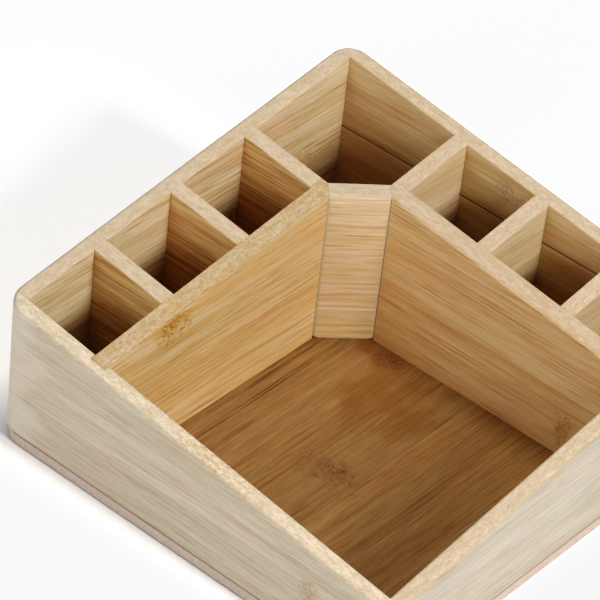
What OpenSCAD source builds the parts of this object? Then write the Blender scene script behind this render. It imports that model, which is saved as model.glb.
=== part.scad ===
// Square desk organizer of glued bamboo boards. Two rows of small cells and a corner cell run along
// its left and back sides, round an open tray. All the top edges lie in one plane, which slopes from
// the tall back left corner down to the low front right corner.

/* [Cells] */
// Width of each small cell, along its outer wall
pen_cell = 36; // [20:1:60]
// Depth of the rows of cells, from outer wall to inner wall
cell_depth = 36; // [20:1:60]
// How far the corner cell runs past the tray faces of the inner walls
corner_run = 13; // [6:1:40]

/* [Height] */
// Height of the tall back left corner, before its upright edge is rounded
back_h = 97; // [75:1:160]
// Height of the low front right corner, before its upright edge is rounded
front_h = 38; // [24:1:70]
// Height of the back wall's upper board at its low right end, above the glue line
upper_board_end = 7.5; // [3:0.5:15]

/* [Boards] */
// Thickness of the four outer walls
wall_t = 7; // [5:0.5:12]
// Thickness of the two inner walls
inner_t = 8; // [5:0.5:12]
// Thickness of the dividers between the small cells
divider_t = 7; // [4:0.5:12]
// Thickness of the angled panel across the inner corner of the tray
panel_t = 7; // [4:0.5:9]
// Thickness of the base board
base_t = 6; // [4:0.5:12]
// Radius of the four upright outer corners
corner_r = 10; // [1:0.5:14]

/* [Joints] */
// Depth of the housings in the outer walls that hold the ends of the inner boards
housing_d = 3; // [1:0.5:4]
// Glue gap on each side of a board end in its housing
glue_gap = 0.1; // [0:0.05:0.3]

/* [Hidden] */
$fn = 96;

cells_per_row = 3;
cell_pitch = pen_cell + divider_t;
corner_cell = cell_depth + inner_t + corner_run;
side = 2 * wall_t + cells_per_row * cell_pitch + corner_cell;
half = side / 2;
half_diagonal = side / sqrt(2);
// Height of the glue line between the two boards of the back wall, which is level
seam_h = (back_h + front_h) / 2 - upper_board_end;

// Places along X, from the left. The back row uses the same ones, mirrored in the diagonal.
wall_face = -half + wall_t;
cell_face = wall_face + cell_depth;
tray_face = cell_face + inner_t;
// Y of the far face of the last left divider, where the corner cell begins
row_end = wall_face + cells_per_row * cell_pitch;

// The panel's ends are square, and each is glued to a 45 degree cut on the end of an inner wall
panel_w = corner_run * sqrt(2) + panel_t;
panel_set = panel_t / sqrt(2);

light_bamboo = [0.85, 0.77, 0.62];
honey_bamboo = [0.80, 0.64, 0.42];
pale_bamboo = [0.87, 0.79, 0.63];
base_bamboo = [0.66, 0.50, 0.34];

// Plan of the whole organizer, with its upright corners rounded
module outline() {
    square([side, side - 2 * corner_r], center = true);
    square([side - 2 * corner_r, side], center = true);
    for (x = [-1, 1], y = [-1, 1])
        translate([x * (half - corner_r), y * (half - corner_r)]) circle(corner_r);
}

// Everything below the sloping plane of the top edges
module below_slope() {
    rotate([0, 0, -45])
        rotate([90, 0, 0])
            linear_extrude(4 * side, center = true)
                polygon([
                    [-half_diagonal, 0], [half_diagonal, 0],
                    [half_diagonal, front_h], [-half_diagonal, back_h]
                ]);
}

// A board that stands on the base board, with the given plan, cut off by the sloping plane
module upright() {
    intersection() {
        below_slope();
        translate([0, 0, base_t]) linear_extrude(back_h) children();
    }
}

// Reflection in the upright plane through the tall and low corners: left pieces become back pieces
module as_back() {
    mirror([1, 1, 0]) children();
}

// Y of the near face of left divider number i, which counts from the front
function divider_y(i) = wall_face + i * cell_pitch - divider_t;

// Plan of the housings that the left dividers fit into, with a glue gap on each side
module divider_housings() {
    for (i = [1:cells_per_row])
        translate([wall_face - housing_d, divider_y(i) - glue_gap])
            square([2 * housing_d, divider_t + 2 * glue_gap]);
}

// Plan of the housing in the front wall that the left inner wall fits into
module inner_wall_housing() {
    translate([cell_face - glue_gap, wall_face - housing_d])
        square([inner_t + 2 * glue_gap, 2 * housing_d]);
}

// Plan of a left divider, from the bottom of its housing to the inner wall
module divider_plan(i) {
    translate([wall_face - housing_d, divider_y(i)])
        square([housing_d + cell_depth, divider_t]);
}

// Plan of the left inner wall, whose far end is cut at 45 degrees on the tray side for the panel
module inner_wall_plan() {
    polygon([
        [cell_face, wall_face - housing_d],
        [tray_face, wall_face - housing_d],
        [tray_face, row_end - panel_set],
        [tray_face - panel_set, row_end],
        [cell_face, row_end]
    ]);
}

// Plan of the strip of the outline that the back wall stands on
module back_strip() {
    intersection() {
        outline();
        translate([-half, -wall_face]) square([side, wall_t]);
    }
}

// Plan of the back wall, which runs the whole length of its side
module back_wall_plan() {
    difference() {
        back_strip();
        as_back() divider_housings();
    }
}

module base_board() {
    color(base_bamboo) linear_extrude(base_t) outline();
}

// The front wall runs the whole length of its side, and the left and right walls butt against it
module front_wall() {
    color(light_bamboo) upright() difference() {
        intersection() {
            outline();
            translate([-half, -half]) square([side, wall_t]);
        }
        inner_wall_housing();
    }
}

module right_wall() {
    color(light_bamboo) upright() difference() {
        translate([-wall_face, wall_face]) square([wall_t, side - 2 * wall_t]);
        as_back() inner_wall_housing();
    }
}

module left_wall() {
    color(light_bamboo) upright() difference() {
        translate([-half, wall_face]) square([wall_t, side - 2 * wall_t]);
        divider_housings();
    }
}

module back_wall_lower() {
    color(light_bamboo) intersection() {
        upright() back_wall_plan();
        linear_extrude(seam_h) square(2 * side, center = true);
    }
}

module back_wall_upper() {
    color(light_bamboo) difference() {
        upright() back_wall_plan();
        linear_extrude(seam_h) square(2 * side, center = true);
    }
}

module left_inner_wall() {
    color(honey_bamboo) upright() inner_wall_plan();
}

module back_inner_wall() {
    color(honey_bamboo) upright() as_back() inner_wall_plan();
}

module corner_panel() {
    color(pale_bamboo) upright()
        translate([tray_face, row_end - panel_set])
            rotate([0, 0, 45]) square([panel_w, panel_t]);
}

module left_divider(i) {
    color(light_bamboo) upright() divider_plan(i);
}

module back_divider(i) {
    color(light_bamboo) upright() as_back() divider_plan(i);
}

base_board();
front_wall();
right_wall();
left_wall();
back_wall_lower();
back_wall_upper();
left_inner_wall();
back_inner_wall();
corner_panel();
left_divider(1);  // left_divider_1
left_divider(2);  // left_divider_2
left_divider(3);  // left_divider_3
back_divider(1);  // back_divider_1
back_divider(2);  // back_divider_2
back_divider(3);  // back_divider_3
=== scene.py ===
"""The looks of a bamboo desk organizer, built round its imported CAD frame.

The upright boards are cut from one shell whose rims are eased, because the real ones are sanded after
they are glued up, so that a rim runs on through every joint. Each board then gets a bamboo of its own.
"""

import math

import bmesh
import bpy
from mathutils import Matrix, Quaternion, Vector
from mathutils.geometry import tessellate_polygon


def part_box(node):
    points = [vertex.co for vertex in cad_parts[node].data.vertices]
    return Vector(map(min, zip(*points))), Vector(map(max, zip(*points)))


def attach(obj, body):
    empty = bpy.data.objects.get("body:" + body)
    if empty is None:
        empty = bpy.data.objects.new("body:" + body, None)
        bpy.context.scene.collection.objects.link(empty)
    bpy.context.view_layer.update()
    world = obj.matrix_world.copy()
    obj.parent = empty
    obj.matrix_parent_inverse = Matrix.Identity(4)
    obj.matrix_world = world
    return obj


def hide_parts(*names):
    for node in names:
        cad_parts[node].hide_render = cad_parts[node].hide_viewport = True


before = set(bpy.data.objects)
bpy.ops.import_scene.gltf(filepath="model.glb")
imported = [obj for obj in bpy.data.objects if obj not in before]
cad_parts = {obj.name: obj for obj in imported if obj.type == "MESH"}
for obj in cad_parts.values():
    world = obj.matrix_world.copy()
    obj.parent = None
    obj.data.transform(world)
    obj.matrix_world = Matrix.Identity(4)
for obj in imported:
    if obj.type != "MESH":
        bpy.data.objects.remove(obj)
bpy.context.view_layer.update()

MM = 0.001

# ---------------------------------------------------------------- camera

VIEW_TARGET = Vector((-42.9, 12.1, 40.0)) * MM
VIEW_DISTANCE = 1382.6 * MM
VIEW_AZIMUTH = math.radians(37.10)
VIEW_ELEVATION = math.radians(38.45)
VIEW_ROLL = math.radians(6.69)
LENS = 207.3
CLIP_START = 0.05


def make_camera():
    data = bpy.data.cameras.new("camera")
    data.lens = LENS
    data.clip_start = CLIP_START
    camera = bpy.data.objects.new("camera", data)
    level = math.cos(VIEW_ELEVATION)
    back = Vector((
        math.sin(VIEW_AZIMUTH) * level, -math.cos(VIEW_AZIMUTH) * level, math.sin(VIEW_ELEVATION)))
    camera.location = VIEW_TARGET + back * VIEW_DISTANCE
    camera.rotation_mode = "QUATERNION"
    camera.rotation_quaternion = back.to_track_quat("Z", "Y") @ Quaternion((0, 0, 1), VIEW_ROLL)
    bpy.context.scene.collection.objects.link(camera)
    bpy.context.scene.camera = camera


make_camera()

# ---------------------------------------------------------------- sizes, all read from the frame


def plan_box(node):
    """(x low, y low, x high, y high) of a CAD node."""
    low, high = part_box(node)
    return low.x, low.y, high.x, high.y


BASE_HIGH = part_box("base_board")[1]
BASE_TOP = BASE_HIGH.z
HALF = BASE_HIGH.x
WALL_FACE = plan_box("front_wall")[3]
CELL_FACE, HOUSING_END, TRAY_FACE, ROW_END = plan_box("left_inner_wall")
PANEL_SET = TRAY_FACE - plan_box("corner_panel")[0]
PANEL_JOINT = ROW_END - PANEL_SET
SEAM_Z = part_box("back_wall_lower")[1].z
DIVIDERS = [plan_box(f"left_divider_{i}") for i in (1, 2, 3)]

# The plane of the top edges: its height falls evenly along X and rises evenly along Y
FIRST_TOP, SECOND_TOP = (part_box(f"left_divider_{i}")[1].z for i in (1, 2))
SLOPE = (SECOND_TOP - FIRST_TOP) / (DIVIDERS[1][3] - DIVIDERS[0][3])
MID_HEIGHT = FIRST_TOP + SLOPE * (DIVIDERS[0][0] - DIVIDERS[0][3])

# Points of a mesh that are closer than this are one point
MERGE = 0.005 * MM


def corner_radius():
    """Radius of the upright corners, which is how far the base board's left edge stops short."""
    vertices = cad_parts["base_board"].data.vertices
    return min(v.co.y for v in vertices if v.co.x < MERGE - HALF) + HALF


CORNER_R = corner_radius()

# Radius of each kind of sanded edge
OUTER_EASE = 1.6 * MM
TRAY_EASE = 1.2 * MM
CELL_EASE = 0.5 * MM
BASE_TOP_EASE = 0.5 * MM
BASE_FOOT_EASE = 1.4 * MM
PANEL_EASE = 4.6 * MM
PANEL_FOOT_EASE = 1.4 * MM
SEAM_EASE = 0.6 * MM
EASE_STEPS = 5
# The panel's front edges are only rounded this far round, from its front face
PANEL_TURN = math.radians(22)
# How much more the upright corners of the base board are rounded than those of the walls
BASE_ROUNDER = 1.5 * MM
ARC_STEPS = 14

# Width of the line left between two glued boards
GLUE_LINE = 0.05 * MM
# How far the panel's cut passes the shell's slanting faces, so that no two faces lie in one plane
HAIR = 0.01 * MM
# How far a cut runs on into the open
CLEAR = 5 * MM
ABOVE_ALL = 2 * HALF
# Faces that meet at less than the first angle are merged, and at less than the second shaded smooth
FLAT_ANGLE = math.radians(0.1)
SMOOTH_ANGLE = math.radians(40)


def top_height(x, y):
    """Height of the sloping plane of the top edges."""
    return MID_HEIGHT - SLOPE * (x - y)


# ---------------------------------------------------------------- plans, all counter-clockwise


def rounded_square(inset=0.0, rounder=0.0):
    """Plan of the whole organizer, set in by inset, and with corners that much rounder."""
    radius = CORNER_R + rounder
    points = []
    for quarter, (side_x, side_y) in enumerate([(1, 1), (-1, 1), (-1, -1), (1, -1)]):
        for step in range(ARC_STEPS + 1):
            angle = math.pi / 2 * (quarter + step / ARC_STEPS)
            x = (HALF - radius) * side_x + (radius - inset) * math.cos(angle)
            y = (HALF - radius) * side_y + (radius - inset) * math.sin(angle)
            points.append((x, y))
    return points


def rectangle(x0, y0, x1, y1):
    return [(x0, y0), (x1, y0), (x1, y1), (x0, y1)]


def as_back(plan):
    """A plan from the left row turned into its back one, by reflection in the diagonal."""
    return [(-y, -x) for x, y in reversed(plan)]


def as_front(plan):
    """A plan along the left side turned into the same one along the front."""
    return [(y, x) for x, y in reversed(plan)]


def grown(plan, by):
    """A convex plan with every edge moved outwards."""
    normals = []
    for (x0, y0), (x1, y1) in zip(plan, plan[1:] + plan[:1]):
        length = math.hypot(x1 - x0, y1 - y0)
        normals.append(((y1 - y0) / length, (x0 - x1) / length))
    points = []
    for i, (x, y) in enumerate(plan):
        (before_x, before_y), (after_x, after_y) = normals[i - 1], normals[i]
        share = by / (1 + before_x * after_x + before_y * after_y)
        points.append((x + share * (before_x + after_x), y + share * (before_y + after_y)))
    return points


def openings():
    """(plan, radius of its rim) of every cell, and of the tray."""
    near = WALL_FACE
    for x0, y0, x1, y1 in DIVIDERS:
        cell = rectangle(WALL_FACE, near, CELL_FACE, y0)
        yield cell, CELL_EASE
        yield as_back(cell), CELL_EASE
        near = y1
    panel_back = TRAY_FACE - PANEL_SET
    yield [(WALL_FACE, ROW_END), (panel_back, ROW_END), (-ROW_END, -panel_back),
           (-ROW_END, -WALL_FACE), (WALL_FACE, -WALL_FACE)], CELL_EASE
    yield [(TRAY_FACE, WALL_FACE), (-WALL_FACE, WALL_FACE), (-WALL_FACE, -TRAY_FACE),
           (-PANEL_JOINT, -TRAY_FACE), (TRAY_FACE, PANEL_JOINT)], TRAY_EASE


def wall_plan(start, end, housings, back=0.0):
    """Plan of a wall along the left side, with housings in its inner face, which is set back by back."""
    outside = -HALF - CLEAR
    face = WALL_FACE - back
    floor = HOUSING_END
    points = [(outside, start), (face, start)]
    for low, high in housings:
        points += [(face, low), (floor, low), (floor, high), (face, high)]
    return points + [(face, end), (outside, end)]


def housings_for(ends):
    """(low, high) of the housing that holds each board end, with a glue line on both sides."""
    return [(low - GLUE_LINE, high + GLUE_LINE) for low, high in ends]


WHOLE_SIDE = -HALF - CLEAR, HALF + CLEAR
BETWEEN_WALLS = WALL_FACE + GLUE_LINE, -WALL_FACE - GLUE_LINE
DIVIDER_HOUSINGS = housings_for([(y0, y1) for x0, y0, x1, y1 in DIVIDERS])
INNER_WALL_HOUSING = housings_for([(CELL_FACE, TRAY_FACE)])


def divider_plan(box):
    x0, y0, x1, y1 = box
    return rectangle(x0 + GLUE_LINE, y0, x1 - GLUE_LINE, y1)


def inner_wall_plan():
    """The left inner wall, whose far end is cut at 45 degrees on the tray side for the panel."""
    return [
        (CELL_FACE, HOUSING_END + GLUE_LINE),
        (TRAY_FACE, HOUSING_END + GLUE_LINE),
        (TRAY_FACE, PANEL_JOINT),
        (TRAY_FACE - PANEL_SET, ROW_END),
        (CELL_FACE, ROW_END),
    ]


def panel_plan(back=0.0, narrower=0.0):
    """The corner panel, with its two upright front edges rounded and its front set back by back.

    Each of those edges is also set in by narrower.
    """
    start = Vector((TRAY_FACE, PANEL_JOINT))
    along = Vector((1, 1)).normalized()
    into = Vector((-1, 1)).normalized()
    width = (Vector((-PANEL_JOINT, -TRAY_FACE)) - start).length
    rear = PANEL_SET * math.sqrt(2) + HAIR
    left = [(GLUE_LINE, rear)]
    for inwards, forwards in rounding(PANEL_EASE, PANEL_TURN):
        left.append((GLUE_LINE + narrower + inwards, back + forwards - HAIR))
    right = [(width - u, w) for u, w in reversed(left)]
    points = [start + along * u + into * w for u, w in left + right]
    return [tuple(p) for p in points]


# ---------------------------------------------------------------- meshes


def rounding(radius, turn=math.pi / 2):
    """(set back, drop) at each step over a rounded edge, up to the face that it is flush with."""
    start = math.pi / 2 - turn
    for step in range(EASE_STEPS + 1):
        angle = start + turn * step / EASE_STEPS
        yield radius * (math.cos(start) - math.cos(angle)), radius * (1 - math.sin(angle))


def new_object(name, bm):
    bmesh.ops.recalc_face_normals(bm, faces=bm.faces)
    mesh = bpy.data.meshes.new(name)
    bm.to_mesh(mesh)
    bm.free()
    made = bpy.data.objects.new(name, mesh)
    bpy.context.scene.collection.objects.link(made)
    return made


def skin(bm, rings):
    """Quads between rings of vertices, one above the other."""
    for ring, higher in zip(rings, rings[1:]):
        for i, vertex in enumerate(ring):
            j = (i + 1) % len(ring)
            bm.faces.new((vertex, ring[j], higher[j], higher[i]))


def lofted(name, levels):
    """A closed solid through (plan, height) levels, with a flat face at each end."""
    bm = bmesh.new()
    rings = [[bm.verts.new((x, y, z)) for x, y in plan] for plan, z in levels]
    bm.faces.new(rings[0])
    bm.faces.new(rings[-1])
    skin(bm, rings)
    return new_object(name, bm)


def prism(name, plan, low=0.0, high=ABOVE_ALL):
    return lofted(name, [(plan, low), (plan, high)])


def eased_shell():
    """All the uprights as one solid, with eased rims round the outside and round every opening."""
    bm = bmesh.new()
    feet = []
    tops = []

    def wall(plan_at, radius):
        rings = [[bm.verts.new((x, y, BASE_TOP)) for x, y in plan_at(0.0)]]
        for back, drop in rounding(radius):
            rings.append([bm.verts.new((x, y, top_height(x, y) - drop)) for x, y in plan_at(back)])
        skin(bm, rings)
        feet.append(rings[0])
        tops.append(rings[-1])

    wall(rounded_square, OUTER_EASE)
    for plan, radius in openings():
        wall(lambda back, plan=plan: grown(plan, back), radius)
    for rings in (feet, tops):
        corners = [v for ring in rings for v in ring]
        outlines = [[Vector((v.co.x, v.co.y, 0)) for v in ring] for ring in rings]
        for triangle in tessellate_polygon(outlines):
            bm.faces.new([corners[i] for i in triangle])
    return new_object("shell", bm)


def finish_board(node, board):
    """Smooth edges and flat faces, and a ride on the frame in place of its CAD node."""
    board.data.shade_smooth()
    board.data.set_sharp_from_angle(angle=SMOOTH_ANGLE)
    weighted = board.modifiers.new("flat faces", "WEIGHTED_NORMAL")
    weighted.keep_sharp = True
    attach(board, "root")
    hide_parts(node)
    return board


def cut_board(node, cutter):
    """The part of the shell inside the cutter, as the visible board that stands for a CAD node."""
    cut = cutter.modifiers.new("cut", "BOOLEAN")
    cut.operation = "INTERSECT"
    cut.solver = "MANIFOLD"
    cut.object = shell
    mesh = bpy.data.meshes.new_from_object(cutter.evaluated_get(bpy.context.evaluated_depsgraph_get()))
    bpy.data.objects.remove(cutter)
    bm = bmesh.new()
    bm.from_mesh(mesh)
    bpy.data.meshes.remove(mesh)
    bmesh.ops.remove_doubles(bm, verts=bm.verts, dist=MERGE)
    bmesh.ops.dissolve_limit(bm, angle_limit=FLAT_ANGLE, verts=bm.verts, edges=bm.edges)
    return finish_board(node, new_object(node + "_bamboo", bm))


def back_wall_levels(upper):
    """(plan, height) levels of a back wall board, eased on the inner face where it meets the other."""
    def plan(back=0.0):
        return as_back(wall_plan(*WHOLE_SIDE, DIVIDER_HOUSINGS, back))

    ease = [(plan(back), drop + GLUE_LINE / 2) for back, drop in rounding(SEAM_EASE)]
    if upper:
        return [(p, SEAM_Z + drop) for p, drop in reversed(ease)] + [(plan(), ABOVE_ALL)]
    return [(plan(), 0.0)] + [(p, SEAM_Z - drop) for p, drop in ease]


def panel_levels():
    """(plan, height) levels of the corner panel, eased at the foot of its front and its corners."""
    levels = []
    for up, back in rounding(PANEL_EASE, PANEL_TURN):
        below = max(PANEL_FOOT_EASE - up, 0.0)
        narrower = PANEL_FOOT_EASE - math.sqrt(PANEL_FOOT_EASE ** 2 - below ** 2)
        levels.append((panel_plan(back, narrower), BASE_TOP + up))
    return levels + [(panel_plan(), ABOVE_ALL)]


def base_levels():
    """(plan, height) levels of the base board, eased round its foot and its top."""
    levels = []
    for back, up in reversed(list(rounding(BASE_FOOT_EASE))):
        levels.append((rounded_square(back, BASE_ROUNDER), up))
    for back, drop in rounding(BASE_TOP_EASE):
        levels.append((rounded_square(back, BASE_ROUNDER), BASE_TOP - drop))
    return levels


shell = eased_shell()
boards = {}


def add_board(node, cutter):
    boards[node] = cut_board(node, cutter)


add_board("front_wall", prism("cut", as_front(wall_plan(*WHOLE_SIDE, INNER_WALL_HOUSING))))
add_board("right_wall", prism("cut", as_back(as_front(wall_plan(*BETWEEN_WALLS, INNER_WALL_HOUSING)))))
add_board("left_wall", prism("cut", wall_plan(*BETWEEN_WALLS, DIVIDER_HOUSINGS)))
add_board("back_wall_lower", lofted("cut", back_wall_levels(upper=False)))
add_board("back_wall_upper", lofted("cut", back_wall_levels(upper=True)))
add_board("left_inner_wall", prism("cut", inner_wall_plan()))
add_board("back_inner_wall", prism("cut", as_back(inner_wall_plan())))
add_board("corner_panel", lofted("cut", panel_levels()))
for number, divider in enumerate(DIVIDERS, 1):
    add_board(f"left_divider_{number}", prism("cut", divider_plan(divider)))
    add_board(f"back_divider_{number}", prism("cut", as_back(divider_plan(divider))))
bpy.data.objects.remove(shell)
boards["base_board"] = finish_board("base_board", lofted("base_board_bamboo", base_levels()))

# ---------------------------------------------------------------- bamboo

# Sizes of the blobs of each noise, in millimetres along, across and through a board
BAND_SIZE = (130.0, 6.0, 9.0)
GLOW_SIZE = (52.0, 1.5, 4.0)
STREAK_SIZE = (80.0, 1.2, 3.0)
LINE_SIZE = (30.0, 0.75, 1.5)
LINE_PATCH_SIZE = (55.0, 9.0, 12.0)
HUE_SIZE = (60.0, 22.0, 22.0)
FIBRE_SIZE = (14.0, 0.5, 0.9)
WANDER_SIZE = (4.0, 5.0, 5.0)
DRIFT_SIZE = (22.0, 14.0, 14.0)
DOT_SIZE = (0.9, 0.8, 0.8)
CLOUD_SIZE = (5.5, 1.8, 1.8)
SPECK_SIZE = (1.6, 1.0, 1.0)
FLECK_SIZE = (2.3, 0.9, 0.9)
# How far a strip is shifted in the noise at most, and each board from the last one, in millimetres
STRIP_SHIFT = 900.0
BOARD_SHIFT = 31.7
# What a colour is multiplied by where the bamboo is rosier and yellower, and on a sanded rim as painted
# shade
ROSIER = (1.03, 0.99, 0.98, 1.0)
YELLOWER = (1.0, 1.01, 0.96, 1.0)
RIM_PAINTED_SHADE = (0.5, 0.42, 0.3, 1.0)
BUMP_DEPTH = 0.06 * MM


def linear(red, green, blue):
    """A colour given as the usual 0 to 255 values, as the shader's own linear ones."""
    def channel(value):
        value /= 255
        return value / 12.92 if value <= 0.04045 else ((value + 0.055) / 1.055) ** 2.4

    return channel(red), channel(green), channel(blue), 1.0


class Shade:
    """One material, and short ways to add nodes to it. Each returns the socket that it adds."""

    def __init__(self, name):
        self.material = bpy.data.materials.new(name)
        self.material.use_nodes = True
        self.tree = self.material.node_tree
        self.surface = self.tree.nodes["Principled BSDF"]

    def put(self, kind, inputs, output=0, **settings):
        node = self.tree.nodes.new(kind)
        for key, value in settings.items():
            setattr(node, key, value)
        for key, value in inputs.items():
            if isinstance(value, bpy.types.NodeSocket):
                self.tree.links.new(value, node.inputs[key])
            else:
                node.inputs[key].default_value = value
        return node.outputs[output]

    def math(self, operation, a, b=0.0):
        return self.put("ShaderNodeMath", {0: a, 1: b}, operation=operation)

    def vector(self, operation, a, b, output=0):
        return self.put("ShaderNodeVectorMath", {0: a, 1: b}, output, operation=operation)

    def ramp(self, value, low, high, from_value=0.0, to_value=1.0):
        inputs = {0: value, 1: low, 2: high, 3: from_value, 4: to_value}
        return self.put("ShaderNodeMapRange", inputs, interpolation_type="SMOOTHSTEP")

    def mix(self, factor, a, b, blend="MIX"):
        inputs = {0: factor, 6: a, 7: b}
        return self.put("ShaderNodeMix", inputs, 2, data_type="RGBA", blend_type=blend)

    def noise(self, vector, sizes, detail=2.0, roughness=0.5, distortion=0.0):
        """Noise whose blobs have these sizes in millimetres along, across and through the board."""
        scaled = self.vector("MULTIPLY", vector, [1 / size for size in sizes])
        inputs = {"Vector": scaled, "Scale": 1.0, "Detail": detail, "Roughness": roughness,
                  "Distortion": distortion}
        return self.put("ShaderNodeTexNoise", inputs)

    def link(self, socket, name):
        self.tree.links.new(socket, self.surface.inputs[name])


def patches(shade, u, v, wander, places):
    """1 inside some ragged ovals, and 0 outside them. Each place is (u, v, length, width)."""
    inside = 0.0
    for place_u, place_v, length, width in places:
        du = shade.math("DIVIDE", shade.math("SUBTRACT", u, place_u), length / 2)
        dv = shade.math("DIVIDE", shade.math("SUBTRACT", v, place_v), width / 2)
        squares = shade.math("ADD", shade.math("MULTIPLY", du, du), shade.math("MULTIPLY", dv, dv))
        distance = shade.math("ADD", shade.math("SQRT", squares), wander)
        inside = shade.math("MAXIMUM", inside, shade.ramp(distance, 0.3, 1.2, 1.0, 0.0))
    return inside


def glue_line_and_shade(shade, height, facing, at):
    """1 along the level glue line at that height in millimetres, but not on a face that looks up. On the
    base board the line is also painted shade, of the groove under the walls.
    """
    away = shade.math("ABSOLUTE", shade.math("SUBTRACT", height, at))
    near = shade.ramp(away, 0.2, 0.75, 1.0, 0.0)
    return shade.math("MULTIPLY", near, shade.ramp(facing, 0.85, 0.98, 1.0, 0.0))


def bamboo(name, along, across, seed, look):
    """Glued bamboo strips, whose grain runs along one direction and which lie side by side across it."""
    shade = Shade(name)
    through = along.cross(across)
    place = shade.put("ShaderNodeTexCoord", {}, "Object")
    normal = shade.put("ShaderNodeTexCoord", {}, "Normal")
    facing = shade.put("ShaderNodeSeparateXYZ", {0: normal}, 2)
    u, v, w = (
        shade.vector("DOT_PRODUCT", place, axis / MM, "Value") for axis in (along, across, through)
    )
    from_joint = shade.math("SUBTRACT", v, look["joint"])
    strip = shade.math("FLOOR", shade.math("DIVIDE", from_joint, look["strip"]))
    strip_tone = shade.put("ShaderNodeTexWhiteNoise", {"W": shade.math("ADD", strip, seed)}, "Value",
                           noise_dimensions="1D")
    own_u = shade.math("ADD", u, shade.math("MULTIPLY", strip_tone, STRIP_SHIFT))
    own_w = shade.math("ADD", w, seed * BOARD_SHIFT)
    plain = shade.put("ShaderNodeCombineXYZ", {0: u, 1: v, 2: own_w})
    wander = shade.ramp(shade.noise(plain, WANDER_SIZE, 4.0, 0.6), 0.2, 0.8, -0.6, 0.6)
    mark = patches(shade, u, v, wander, look["marks"])
    swirl = shade.math("MULTIPLY", mark, shade.math("MULTIPLY", wander, 3.0))
    grain = shade.put("ShaderNodeCombineXYZ", {0: own_u, 1: shade.math("ADD", v, swirl), 2: own_w})

    # Colour of the flat faces: broad bands, orange streaks, dark ones, and patches of thin dark lines
    bands = shade.noise(grain, BAND_SIZE, 3.0, 0.6)
    spread = look["bands"]
    colour = shade.mix(shade.ramp(bands, 0.5 - spread, 0.5 + spread), look["pale"], look["deep"])
    glow = shade.noise(grain, GLOW_SIZE, 4.0, 0.6)
    colour = shade.mix(shade.ramp(glow, 0.5, 0.74, 0.0, look["glow"]), colour, look["orange"])
    streaks = shade.noise(grain, STREAK_SIZE, 4.0, 0.7)
    strength = look["streaks"]
    if look["streaked"]:
        dense_to, sparse_from, dense = look["streaked"]
        strength = shade.ramp(v, dense_to, sparse_from, dense, strength)
    colour = shade.mix(shade.ramp(streaks, 0.48, 0.7, 0.0, strength), colour, look["fibre"])
    lines = shade.noise(grain, LINE_SIZE, 2.0, 0.6)
    where = shade.ramp(shade.noise(grain, LINE_PATCH_SIZE, 2.0), 0.38, 0.62, 0.15, look["lines"])
    colour = shade.mix(shade.math("MULTIPLY", where, shade.ramp(lines, 0.5, 0.7)), colour, look["fibre"])

    # Large soft changes of hue, short fibres, strips of different tone, then patches of stain and of
    # painted light, and node marks
    hue = shade.noise(plain, HUE_SIZE, 2.0)
    warmth = shade.mix(shade.ramp(hue, 0.36, 0.64), ROSIER, YELLOWER)
    colour = shade.mix(look["hue"], colour, warmth, "MULTIPLY")
    fibres = shade.noise(grain, FIBRE_SIZE, 3.0, 0.75)
    light = shade.ramp(fibres, 0.3, 0.7, 1.0 - look["fine"], 1.0 + look["fine"])
    own_tone = shade.ramp(strip_tone, 0.0, 1.0, 1 - look["tone"], 1 + look["tone"])
    colour = shade.mix(1.0, colour, shade.math("MULTIPLY", light, own_tone), "MULTIPLY")
    drift = shade.ramp(shade.noise(plain, DRIFT_SIZE, 2.0), 0.2, 0.8, -0.5, 0.5)
    # The patches are real stains on some boards, and painted light and painted shade on others
    stain_and_painted_light = patches(shade, u, v, drift, look["stain_and_painted_light_places"])
    colour = shade.mix(shade.math("MULTIPLY", stain_and_painted_light, 0.55), colour, look["stain_and_painted_light"])
    colour = shade.mix(shade.math("MULTIPLY", mark, 0.35), colour, look["halo"])
    curls = shade.noise(plain, look["curl"], 3.0, 0.6, 1.8)
    curled = shade.math("MULTIPLY", mark, shade.ramp(curls, 0.44, 0.58, 0.0, look["knots"]))
    colour = shade.mix(curled, colour, look["knot"])

    # Across the grain the bundles of fibres end as dots
    dots = shade.noise(plain, DOT_SIZE, 2.0, 0.8, 0.5)
    clouds = shade.noise(plain, CLOUD_SIZE, 4.0, 0.7, 0.6)
    end = shade.mix(shade.ramp(dots, 0.42, 0.62, 0.0, 0.6), look["end"], look["end_dot"])
    end = shade.mix(shade.ramp(clouds, 0.4, 0.6, 0.0, 0.5), end, look["end_deep"])
    endwise = shade.math("ABSOLUTE", shade.vector("DOT_PRODUCT", normal, along, "Value"))
    colour = shade.mix(shade.ramp(endwise, 0.03, 0.35, 0.0, look["rounded"]), colour, look["top"])
    colour = shade.mix(shade.ramp(endwise, 0.6, 0.85), colour, end)
    if look["pale_side"]:
        upright = shade.ramp(shade.math("ABSOLUTE", facing), 0.5, 0.85, look["pale_side"], 0.0)
        colour = shade.mix(upright, colour, end)

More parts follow.
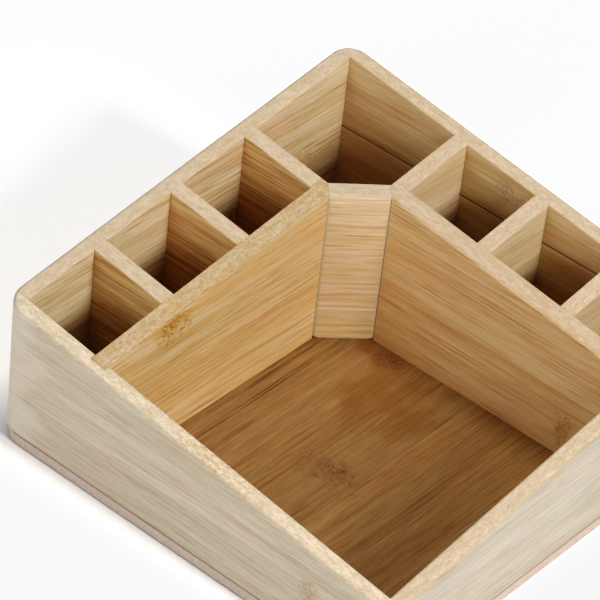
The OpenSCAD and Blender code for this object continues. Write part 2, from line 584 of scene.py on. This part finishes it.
    # The sanded top edge is paler, with the fibres' specks and, by a node of the cane, golden flecks
    edge = shade.mix(shade.ramp(clouds, 0.38, 0.62), look["top"], look["top_deep"])
    specks = shade.noise(plain, SPECK_SIZE, 3.0, 0.65, 0.6)
    edge = shade.mix(shade.ramp(specks, 0.42, 0.7, 0.0, look["specks"]), edge, look["speck"])
    flecks = shade.noise(plain, FLECK_SIZE, 3.0, 0.65, 1.2)
    from_node = shade.math("ABSOLUTE", shade.math("SUBTRACT", u, look["edge_mark"]))
    near = shade.ramp(from_node, 12.0, 28.0, look["flecks"], 0.06)
    edge = shade.mix(shade.math("MULTIPLY", near, shade.ramp(flecks, 0.5, 0.62)), edge, look["fleck"])
    not_level = shade.ramp(facing, 0.75, 0.975, 1.0, 0.0)
    rounded = shade.math("MULTIPLY", shade.ramp(facing, 0.1, 0.5), not_level)
    colour = shade.mix(shade.ramp(facing, 0.25, 0.93, 0.0, look["edge"]), colour, edge)
    # The sanded rims are made darker and yellower: a yellower tone, and painted shade that tones down
    # the light the rounding catches
    colour = shade.mix(shade.math("MULTIPLY", rounded, look["rim"]), colour, RIM_PAINTED_SHADE, "MULTIPLY")

    if look["glued"]:
        height = shade.put("ShaderNodeSeparateXYZ", {0: place}, 2)
        line = glue_line_and_shade(shade, shade.math("DIVIDE", height, MM), facing, look["glued"])
        colour = shade.mix(shade.math("MULTIPLY", line, 0.6), colour, look["glue"])

    shade.link(colour, "Base Color")
    shade.link(shade.ramp(fibres, 0.3, 0.7, look["rough"] - 0.05, look["rough"] + 0.07), "Roughness")
    height = shade.math("ADD", fibres, shade.math("MULTIPLY", streaks, 0.6))
    bump = shade.put("ShaderNodeBump", {"Strength": 0.35, "Distance": BUMP_DEPTH, "Height": height})
    shade.link(bump, "Normal")
    shade.surface.inputs["IOR"].default_value = 1.45
    shade.surface.inputs["Specular IOR Level"].default_value = 0.4
    return shade.material


# Every length in a look is in millimetres, with u measured along the grain and v across it. A mark, and
# a patch of stain and painted light, is (u, v, length, width), "streaked" is (v up to which the streaks
# are dense, v from which they aren't, how strong the dense ones are), "glued" is the height that a glue
# line runs at, and "rim" is how strongly painted shade darkens the sanded rims.
PLAIN = {
    "strip": 24.0, "joint": 2.0, "tone": 0.03, "bands": 0.25, "glow": 0.4, "streaks": 0.5, "lines": 0.5,
    "streaked": None, "fine": 0.1, "rough": 0.5, "rounded": 0.0,
    "marks": [], "stain_and_painted_light_places": [], "knots": 0.5, "curl": (1.7, 0.9, 0.9), "glued": 0.0, "pale_side": 0.0,
    "edge_mark": 60.0, "edge": 1.0, "specks": 0.35, "flecks": 0.3, "hue": 1.0, "rim": 0.2,
    "pale": linear(203, 184, 156), "deep": linear(190, 164, 133), "fibre": linear(156, 122, 86),
    "orange": linear(202, 154, 102), "knot": linear(140, 94, 56), "halo": linear(196, 166, 122),
    "stain_and_painted_light": linear(170, 134, 88), "glue": linear(128, 92, 58), "fleck": linear(172, 128, 74),
    "top": linear(185, 169, 146), "top_deep": linear(175, 157, 130), "speck": linear(143, 122, 92),
    "end": linear(186, 168, 146), "end_dot": linear(150, 124, 98), "end_deep": linear(172, 150, 126),
}
OUTER = PLAIN | {
    "pale": linear(186, 179, 162), "deep": linear(172, 158, 139), "fibre": linear(146, 120, 98),
    "orange": linear(180, 151, 120), "streaks": 0.35, "lines": 0.7,
    "fine": 0.12, "bands": 0.35, "halo": linear(176, 158, 134),
}
FRONT = OUTER | {
    "edge_mark": 8.0, "flecks": 0.75, "marks": [(62, 24, 13, 18)],
    # The pale patch over the left end and its rounded corner is painted light, where the lamps leave
    # that corner dim
    "stain_and_painted_light_places": [(-97, 40, 40, 150)], "stain_and_painted_light": linear(198, 190, 175),
    "top": linear(195, 184, 162), "top_deep": linear(181, 167, 142),
}
RIGHT = OUTER | {
    "pale": linear(169, 164, 152), "deep": linear(157, 149, 132), "fibre": linear(140, 124, 102),
    "edge_mark": 40.0, "marks": [(38, 30, 13, 18)],
}
LEFT = PLAIN | {
    "pale": linear(202, 185, 158), "deep": linear(190, 165, 133), "fibre": linear(152, 118, 82),
    "streaks": 0.7, "lines": 0.8, "fine": 0.13, "edge_mark": 22.0, "marks": [(70, 52, 13, 18)],
}
BACK = PLAIN | {
    "pale": linear(215, 193, 159), "deep": linear(199, 171, 133), "fibre": linear(162, 124, 82),
    "edge_mark": -62.0, "marks": [(-6, 73.5, 16, 15), (48, 30, 13, 18)],
    "streaks": 0.4, "lines": 0.35, "fine": 0.07,
    "halo": linear(205, 190, 160), "glued": SEAM_Z / MM,
}
LEFT_DIVIDER = PLAIN | {
    "pale": linear(224, 195, 152), "deep": linear(201, 165, 121), "fibre": linear(143, 101, 58),
    "streaks": 0.75, "lines": 0.6, "glow": 0.6, "bands": 0.2,
}
BACK_DIVIDER = PLAIN | {
    "pale": linear(200, 182, 155), "deep": linear(186, 162, 132), "fibre": linear(150, 117, 81),
    "streaks": 0.4, "lines": 0.35, "fine": 0.07,
}
HONEY = PLAIN | {
    "pale": linear(197, 176, 144), "deep": linear(187, 153, 109), "fibre": linear(138, 91, 50),
    "orange": linear(199, 144, 78), "glow": 0.65, "fine": 0.11, "streaks": 0.45, "lines": 0.55,
    "marks": [(-58, 61, 21, 17)], "knot": linear(140, 92, 36), "knots": 0.85, "curl": (3.6, 1.0, 1.0),
    "halo": linear(188, 146, 78),
    "top": linear(180, 160, 130), "top_deep": linear(168, 144, 108), "speck": linear(112, 88, 54),
    "specks": 0.45, "edge_mark": -57.0, "flecks": 0.5, "rim": 0.45,
}
ROSE = PLAIN | {
    "pale": linear(222, 198, 163), "deep": linear(210, 175, 134), "fibre": linear(162, 115, 73),
    "orange": linear(222, 161, 103), "glow": 0.5, "fine": 0.09, "streaks": 0.4, "lines": 0.55,
    "marks": [(66, 18, 13, 18)], "bands": 0.3,
    "top": linear(181, 163, 139), "top_deep": linear(170, 149, 121), "specks": 0.25,
}
PANEL = PLAIN | {
    "pale": linear(208, 188, 162), "deep": linear(194, 166, 129), "fibre": linear(165, 128, 82),
    "orange": linear(206, 154, 90), "glow": 0.7, "streaks": 0.55, "lines": 0.7, "rounded": 0.8,
    "top": linear(178, 164, 142), "top_deep": linear(168, 151, 126), "specks": 0.2,
}
# The base board's bamboo is painted darker all over, as painted shade for the dim tray floor; its
# upright sides take the paler end colours
SHADE_DARKENED_BASE = PLAIN | {
    "pale": linear(146, 119, 85), "deep": linear(127, 97, 63), "fibre": linear(80, 50, 24),
    "orange": linear(146, 98, 47), "knot": linear(92, 58, 36), "halo": linear(134, 104, 76),
    "stain_and_painted_light": linear(111, 76, 35), "glow": 0.4, "tone": 0.09, "pale_side": 0.85,
    "strip": 75.0, "joint": 173.0, "edge": 0.0, "knots": 0.75, "fine": 0.16, "bands": 0.4,
    "streaks": 0.25, "streaked": (-42.0, -20.0, 1.0),
    # The first stain is a real one round a mark; the second, over the back of the tray floor, is painted
    # shade of the walls that keep the key light off it
    "marks": [(44, -17, 13, 20), (-26, 10, 15, 28)], "stain_and_painted_light_places": [(45, -24, 16, 30), (24, 0, 40, 44)],
    "end": linear(192, 178, 166), "end_dot": linear(156, 136, 122), "end_deep": linear(178, 156, 142),
    # The glue line under the walls' feet is also painted shade of the groove between them and the base
    # board's eased top
    "glued": (BASE_TOP - BASE_TOP_EASE) / MM, "glue": linear(112, 92, 76),
}

X, Y, Z = Vector((1, 0, 0)), Vector((0, 1, 0)), Vector((0, 0, 1))
DIAGONAL = Vector((1, 1, 0)).normalized()
GRAIN = {
    "front_wall": (X, Z, FRONT), "right_wall": (Y, Z, RIGHT), "left_wall": (Y, Z, LEFT),
    "back_wall_lower": (X, Z, BACK), "back_wall_upper": (X, Z, BACK),
    "left_inner_wall": (Y, Z, HONEY), "back_inner_wall": (X, Z, ROSE),
    "corner_panel": (DIAGONAL, Z, PANEL), "base_board": (Y, X, SHADE_DARKENED_BASE),
}
for seed, (node, board) in enumerate(boards.items(), 1):
    divider = (X, Z, LEFT_DIVIDER) if node.startswith("left") else (Y, Z, BACK_DIVIDER)
    along, across, look = GRAIN.get(node, divider)
    board.data.materials.clear()
    board.data.materials.append(bamboo(node + "_grain", along, across, seed, look))

# ---------------------------------------------------------------- floor and light

FLOOR_HALF = 4.0
WORLD_LIGHT = 0.25
# (scene light, shown light)
CONTRAST = [
    (0.02, 0.003), (0.06, 0.02), (0.15, 0.1), (0.3, 0.28), (0.6, 0.62), (0.72, 0.77), (0.86, 0.99),
]


def make_floor():
    bm = bmesh.new()
    corners = rectangle(-FLOOR_HALF, -FLOOR_HALF, FLOOR_HALF, FLOOR_HALF)
    bm.faces.new([bm.verts.new((x, y, 0)) for x, y in corners])
    floor = new_object("floor", bm)
    shade = Shade("floor_paint")
    place = shade.put("ShaderNodeTexCoord", {}, "Object")
    cloud = shade.put("ShaderNodeTexNoise", {"Vector": place, "Scale": 3.0})
    shade.link(shade.mix(cloud, linear(243, 243, 243), linear(247, 247, 247)), "Base Color")
    shade.surface.inputs["Roughness"].default_value = 0.9
    shade.surface.inputs["Specular IOR Level"].default_value = 0.1
    floor.data.materials.append(shade.material)


def make_light(name, place, size, power):
    data = bpy.data.lights.new(name, "AREA")
    data.shape = "DISK"
    data.size = size
    data.energy = power
    light = bpy.data.objects.new(name, data)
    light.location = place
    light.rotation_mode = "QUATERNION"
    light.rotation_quaternion = Vector(place).to_track_quat("Z", "Y")
    bpy.context.scene.collection.objects.link(light)


def make_world(strength):
    world = bpy.data.worlds.new("studio")
    world.use_nodes = True
    background = world.node_tree.nodes["Background"]
    background.inputs["Color"].default_value = (1.0, 1.0, 1.0, 1.0)
    background.inputs["Strength"].default_value = strength
    bpy.context.scene.world = world


def set_contrast(points):
    """Deepens the shadows, as a printed studio picture does."""
    settings = bpy.context.scene.view_settings
    settings.view_transform = "Standard"
    settings.use_curve_mapping = True
    curve = settings.curve_mapping.curves[3]
    for scene_light, shown_light in points:
        curve.points.new(scene_light, shown_light)
    settings.curve_mapping.update()


make_floor()
make_world(WORLD_LIGHT)
make_light("key", (2.0, -0.1, 1.3), 0.8, 50.0)
make_light("front_fill", (-0.3, -2.2, 0.7), 1.2, 18.5)
make_light("top_fill", (0.2, 0.2, 2.4), 1.0, 32.0)
set_contrast(CONTRAST)
